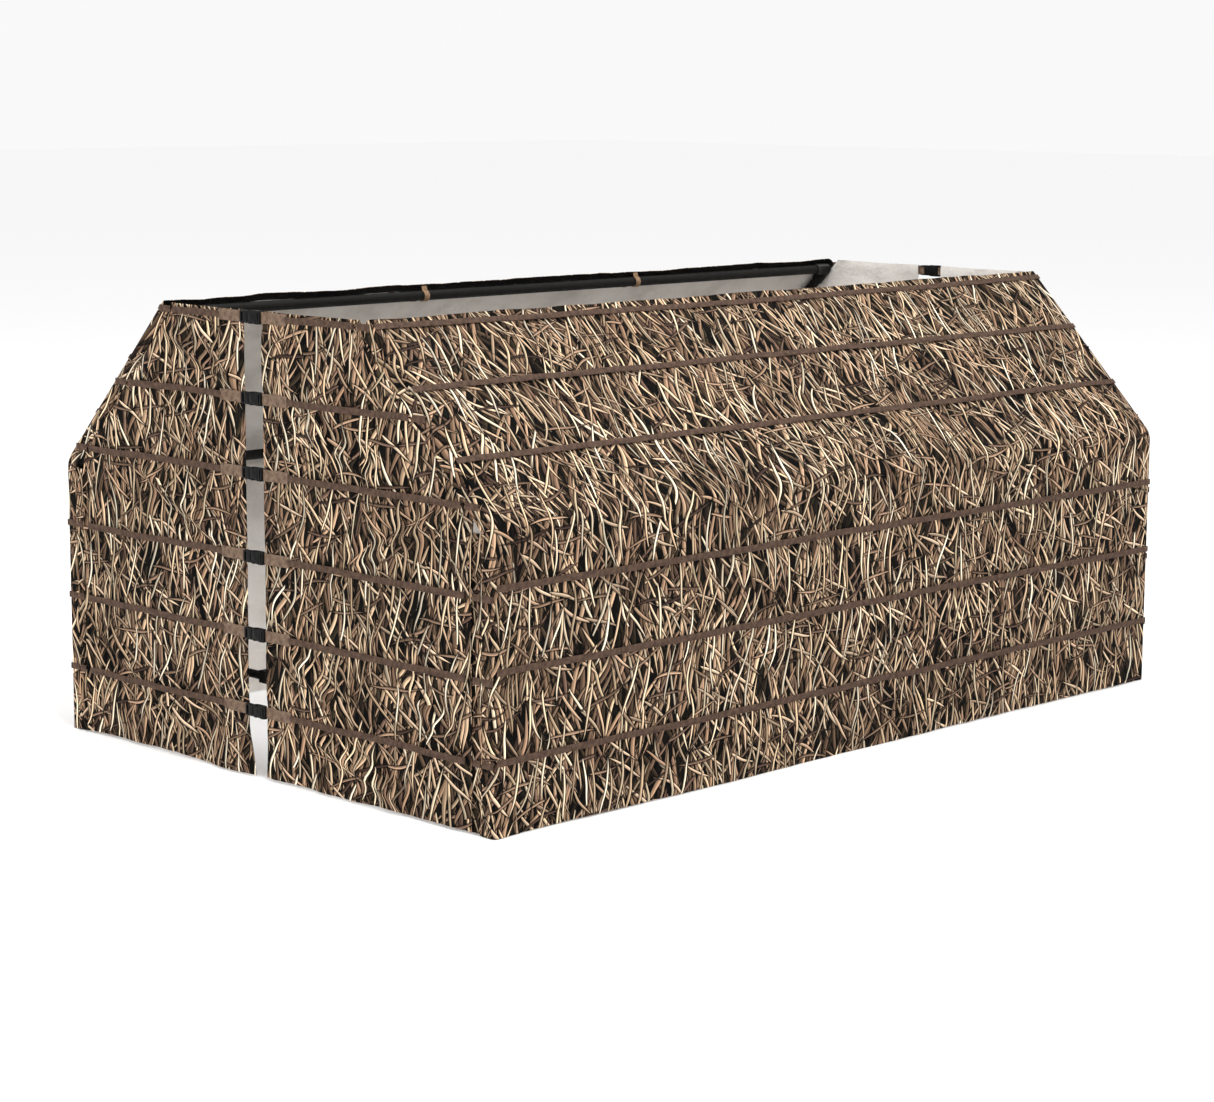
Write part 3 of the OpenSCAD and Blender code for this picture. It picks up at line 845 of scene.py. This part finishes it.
def curtain_straps(end, side):
    """A curtain's stubble straps and buckle webbing.

    The rear webbing is one piece for each buckle.
    """
    sx, sy = ENDS[end], SIDES[side]
    edge = SLIT[end][0 if side == "rear" else 1]
    middle = (SLIT[end][0] - SLIT[end][1]) / 2
    inner = middle + 0.014 if side == "rear" else 0.033 - middle
    sewn = edge + WEB_SEWN
    up, out = (0, 0, 1), (sx, 0, 0)
    straps, web = Builder(), []
    for k, row in enumerate(END_ROWS):
        seed = 400 + 13 * k + (7 if sx > 0 else 0) + (3 if sy > 0 else 0)
        outer = float(min(DOOR_Y - 0.002, curtain_limit(row + 0.01) - 0.017 / COS))
        ys = np.linspace(edge + 0.104, outer, 90)
        run = ys - ys[0]
        stand = 0.0020 + bow(run, seed, 0.0034)
        droop = 0.0030 * fbm(run * 5.0, 0.5, seed + 3, 2)
        droop = droop * smooth(run, 0, 0.05) * smooth(outer - ys, 0, 0.05)
        p = np.stack([sx * (HALF_L + stand), sy * ys, row + droop], 1)
        ribbon(straps, p, up, out, STRAP_W, STRAP_T)

        ys = np.linspace(inner, sewn, 34)
        ripple = 0.0012 * lattice(ys * 70, 0.5, seed + 5)
        ripple = ripple + 0.0010 * lattice(ys * 160, 0.5, seed + 6)
        ripple *= smooth(ys - edge, 0.0, 0.02)
        lower = 0.0018 * smooth(ys, edge + 0.050, edge + 0.075)
        sway = 0.0015 * lattice(ys * 30, 0.5, seed + 8)
        x = HALF_L + 0.0024 - lower + ripple + 0.0018
        p = np.stack([sx * x, sy * ys, np.full(len(ys), row) + sway], 1)
        if side == "rear" or not web:
            web.append(Builder())
        ribbon(web[-1], p, up, out, WEB_W, WEB_T)
    run_obj = straps.build(f"{end}_{side}_strap_runs", [STRAP])
    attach(run_obj, f"{end}_{side}_door")
    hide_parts(f"{end}_{side}_curtain_straps")
    pieces = [run_obj]
    for k, one in enumerate(web, 1):
        name = f"{end}_{side}_buckle_webbing" + (f"_{k}" if side == "rear" else "")
        web_obj = one.build(name, [WEBBING])
        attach(web_obj, f"{end}_{side}_door")
        if side == "rear":
            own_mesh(web_obj)
        pieces.append(web_obj)
    return pieces


# ---------------------------------------------------------------- buckles


def rounded(outline, radius, steps=4):
    """An outline with its corners rounded."""
    points = []
    count = len(outline)
    for i in range(count):
        here = np.array(outline[i], float)
        before = np.array(outline[i - 1], float) - here
        after = np.array(outline[(i + 1) % count], float) - here
        la, lb = np.linalg.norm(before), np.linalg.norm(after)
        r = min(radius, la * 0.45, lb * 0.45)
        a, b = here + before / la * r, here + after / lb * r
        for t in np.linspace(0, 1, steps):
            points.append((1 - t) ** 2 * a + 2 * t * (1 - t) * here + t * t * b)
    return np.array(points)


def slab(made, outline, low, high, edge=0.0008, dome=0.0):
    """A plate from an outline in (u, z), between two depths, with softened rims."""
    outline = np.asarray(outline, float)
    after = np.roll(outline, -1, 0)
    if np.sum(outline[:, 0] * after[:, 1] - outline[:, 1] * after[:, 0]) < 0:
        outline = outline[::-1]
    centre = outline.mean(0)
    ahead, behind = np.roll(outline, -1, 0), np.roll(outline, 1, 0)
    tangent = ahead - behind
    inward = np.stack([-tangent[:, 1], tangent[:, 0]], 1)
    inward /= np.linalg.norm(inward, axis=1, keepdims=True) + 1e-12
    rings = [
        (edge, low), (edge * 0.3, low + edge * 0.3), (0, low + edge),
        (0, high - edge), (edge * 0.3, high - edge * 0.3), (edge, high),
    ]
    if dome:
        rings.append((edge * 2.5, high + dome * 0.5))
    p = np.stack([
        np.column_stack([np.full(len(outline), depth), outline + inward * pull])
        for pull, depth in rings
    ])
    start = made.grid(p, p[..., 1:].copy(), loop=True)
    count = len(outline)
    first = made.put([(low, *centre)], [tuple(centre)])
    last = made.put([(high + dome, *centre)], [tuple(centre)])
    top = start + (len(rings) - 1) * count
    for j in range(count):
        k = (j + 1) % count
        made.face(first, start + k, start + j)
        made.face(last, top + j, top + k)


def mm(*points):
    """Points in millimetres, as metres."""
    return [tuple(v / 1000 for v in p) for p in points]


def plate(made, points, radius, low, high, edge=0.0008, dome=0.0):
    """A slab with rounded corners. Its points are in millimetres."""
    slab(made, rounded(mm(*points), radius), low, high, edge, dome)


def bar(made, u0, u1, half, radius, low, high, edge=0.0008):
    """A straight slab across the webbing, from u0 to u1, in millimetres."""
    corners = [(u0, -half), (u1, -half), (u1, half), (u0, half)]
    plate(made, corners, radius, low, high, edge)


def socket_shape():
    """Side-release socket: depth x, u across the slit towards the insert, z up."""
    made = Builder()
    body = [
        (-29, -20), (-21.5, -20), (-21, -15.2), (-5, -15.2), (-4.5, -20), (8, -19),
        (8, 19), (-4.5, 20), (-5, 15.2), (-21, 15.2), (-21.5, 20), (-29, 20),
    ]
    plate(made, body, 0.0022, 0.0035, 0.0130, 0.0011, 0.0006)
    back = [(-30, -20), (-4.5, -20), (8, -18), (8, 18), (-4.5, 20), (-30, 20)]
    plate(made, back, 0.003, 0.001, 0.0040)
    for s in (-1, 1):
        arm = [(-45, s * 13.5), (-28, s * 13.5), (-28, s * 20), (-42, s * 19.5)]
        plate(made, arm, 0.002, 0.001, 0.0125)
    bar(made, -45, -38.5, 16, 0.0025, 0.0045, 0.0125, 0.0012)
    bar(made, -34.5, -28, 15, 0.002, 0.0045, 0.0125, 0.0012)
    pad = [(-14, -9), (1, -7), (1, 7), (-14, 9)]
    plate(made, pad, 0.004, 0.0125, 0.0140, 0.0007, 0.0003)
    return made


def insert_shape():
    """The insert: two prongs and a guide before its body, and two webbing bars behind it."""
    made = Builder()
    body = [(10, -18), (30, -18), (30, 18), (10, 18)]
    plate(made, body, 0.003, 0.0035, 0.0130, 0.0011, 0.0005)
    for s in (-1, 1):
        arm = [(28, s * 13), (44, s * 12.5), (44, s * 17), (28, s * 18)]
        plate(made, arm, 0.002, 0.0010, 0.0128)
        prong = [
            (12, s * 9.5), (-16, s * 10), (-24, s * 10.5), (-24, s * 12.5), (-15, s * 19.4),
            (-8, s * 19.2), (-7.5, s * 14.5), (12, s * 14.5),
        ]
        plate(made, prong, 0.002, 0.0048, 0.0102, 0.0009)
    bar(made, 37.5, 44.5, 15, 0.0025, 0.0045, 0.0128, 0.0012)
    bar(made, 30.8, 34.2, 15, 0.0012, 0.0045, 0.0085, 0.0012)
    bar(made, -19, 12, 3, 0.002, 0.0050, 0.0098)
    return made


def placed(made, sx, middle, z, into):
    """Copies a buckle shape to its row. Mirrored copies have their faces turned round."""
    base = len(into.points)
    for (x, u, h), uv in zip(made.points, made.uvs):
        into.points.append((sx * (HALF_L + x), middle + u, z + h))
        into.uvs.append(uv)
    for face in made.faces:
        into.face(*(base + v for v in (face if sx > 0 else face[::-1])))


def buckles(end):
    """An end's six sockets in one piece, and its inserts one by one."""
    sx = ENDS[end]
    middle = (SLIT[end][0] - SLIT[end][1]) / 2
    socket, insert = socket_shape(), insert_shape()
    made = Builder()
    for z in END_ROWS:
        placed(socket, sx, middle, z, made)
    obj = made.build(f"{end}_socket_bodies", [BUCKLE], 50)
    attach(obj, f"{end}_front_door")
    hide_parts(f"{end}_sockets")
    for k, z in enumerate(END_ROWS, 1):
        made = Builder()
        placed(insert, sx, middle, z, made)
        obj = made.build(f"{end}_insert_{k}_body", [BUCKLE], 50)
        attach(obj, f"{end}_insert_{k}")
        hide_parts(f"{end}_insert_{k}")


# ---------------------------------------------------------------- put together

for name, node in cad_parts.items():
    if "posts" in name or "rail" in name or "ribs" in name or name.endswith("_bar"):
        material = STEEL
    elif "feet" in name:
        material = RUBBER
    else:
        material = CASTING
    node.data.materials.clear()
    node.data.materials.append(material)
    node.data.polygons.foreach_set("use_smooth", np.ones(len(node.data.polygons), bool))
    node.data.set_sharp_from_angle(angle=math.radians(32))

for side in SIDES:
    wall = wall_object(side)
    straps = [wall_straps(side, False), wall_straps(side, True)]
    ties = tie_loops(side)
for end in ENDS:
    for side in SIDES:
        cloth = curtain(end, side)
        strip, tabs = binding(end, side)
        pieces = curtain_straps(end, side)
    buckles(end)

# ---------------------------------------------------------------- floor, light and camera


FLOOR_HALF = 60
LENS = 86.607575  # millimetres, for a sensor 36 mm wide
CAMERA_AT = (-6.757, -6.516, 2.032)


def pale_floor():
    """The white ground under the part. It belongs to the stage."""
    g = Graph("pale_floor")
    material = g.finish(srgb(252, 252, 252), 0.95, Specular_IOR_Level=0.0)
    corners = [(-1, -1), (1, -1), (1, 1), (-1, 1)]
    mesh = bpy.data.meshes.new("studio_floor")
    mesh.from_pydata([(x * FLOOR_HALF, y * FLOOR_HALF, 0) for x, y in corners], [], [(0, 1, 2, 3)])
    mesh.materials.append(material)
    obj = bpy.data.objects.new("studio_floor", mesh)
    bpy.context.scene.collection.objects.link(obj)


def area_light(name, place, target, size, power):
    """A round light of the given size in metres and power in watts, turned to the target."""
    light = bpy.data.lights.new(name, "AREA")
    light.shape, light.size, light.energy = "DISK", size, power
    obj = bpy.data.objects.new(name, light)
    obj.location = place
    obj.rotation_mode = "QUATERNION"
    obj.rotation_quaternion = (Vector(target) - Vector(place)).to_track_quat("-Z", "Y")
    bpy.context.scene.collection.objects.link(obj)


pale_floor()
area_light("key", (-2.2, -4.6, 9.4), (0, 0, 0.6), 3.0, 600)
area_light("fill", (-9.0, 1.0, 4.0), (0, 0, 0.6), 5.0, 140)
area_light("top", (1.0, 1.5, 8.0), (0, 0, 0.4), 6.0, 160)

world = bpy.data.worlds.new("studio")
world.use_nodes = True
sky = world.node_tree.nodes["Background"]
sky.inputs["Color"].default_value = (1, 1, 1, 1)
sky.inputs["Strength"].default_value = 0.95
bpy.context.scene.world = world
bpy.context.scene.view_settings.view_transform = "Standard"

camera = bpy.data.cameras.new("camera")
camera.sensor_width = 36.0
camera.lens = LENS
camera.clip_end = 200
eye = bpy.data.objects.new("camera", camera)
yaw, pitch, roll = math.radians(44.45), math.radians(-9.25), math.radians(0.28)
ahead = Vector((math.cos(yaw) * math.cos(pitch), math.sin(yaw) * math.cos(pitch), math.sin(pitch)))
right_way = Vector((math.sin(yaw), -math.cos(yaw), 0))
right_way = right_way * math.cos(roll) + right_way.cross(ahead) * math.sin(roll)
turned = Matrix((right_way, right_way.cross(ahead), -ahead)).transposed()
eye.matrix_world = Matrix.Translation(CAMERA_AT) @ turned.to_4x4()
bpy.context.scene.collection.objects.link(eye)
bpy.context.scene.camera = eye
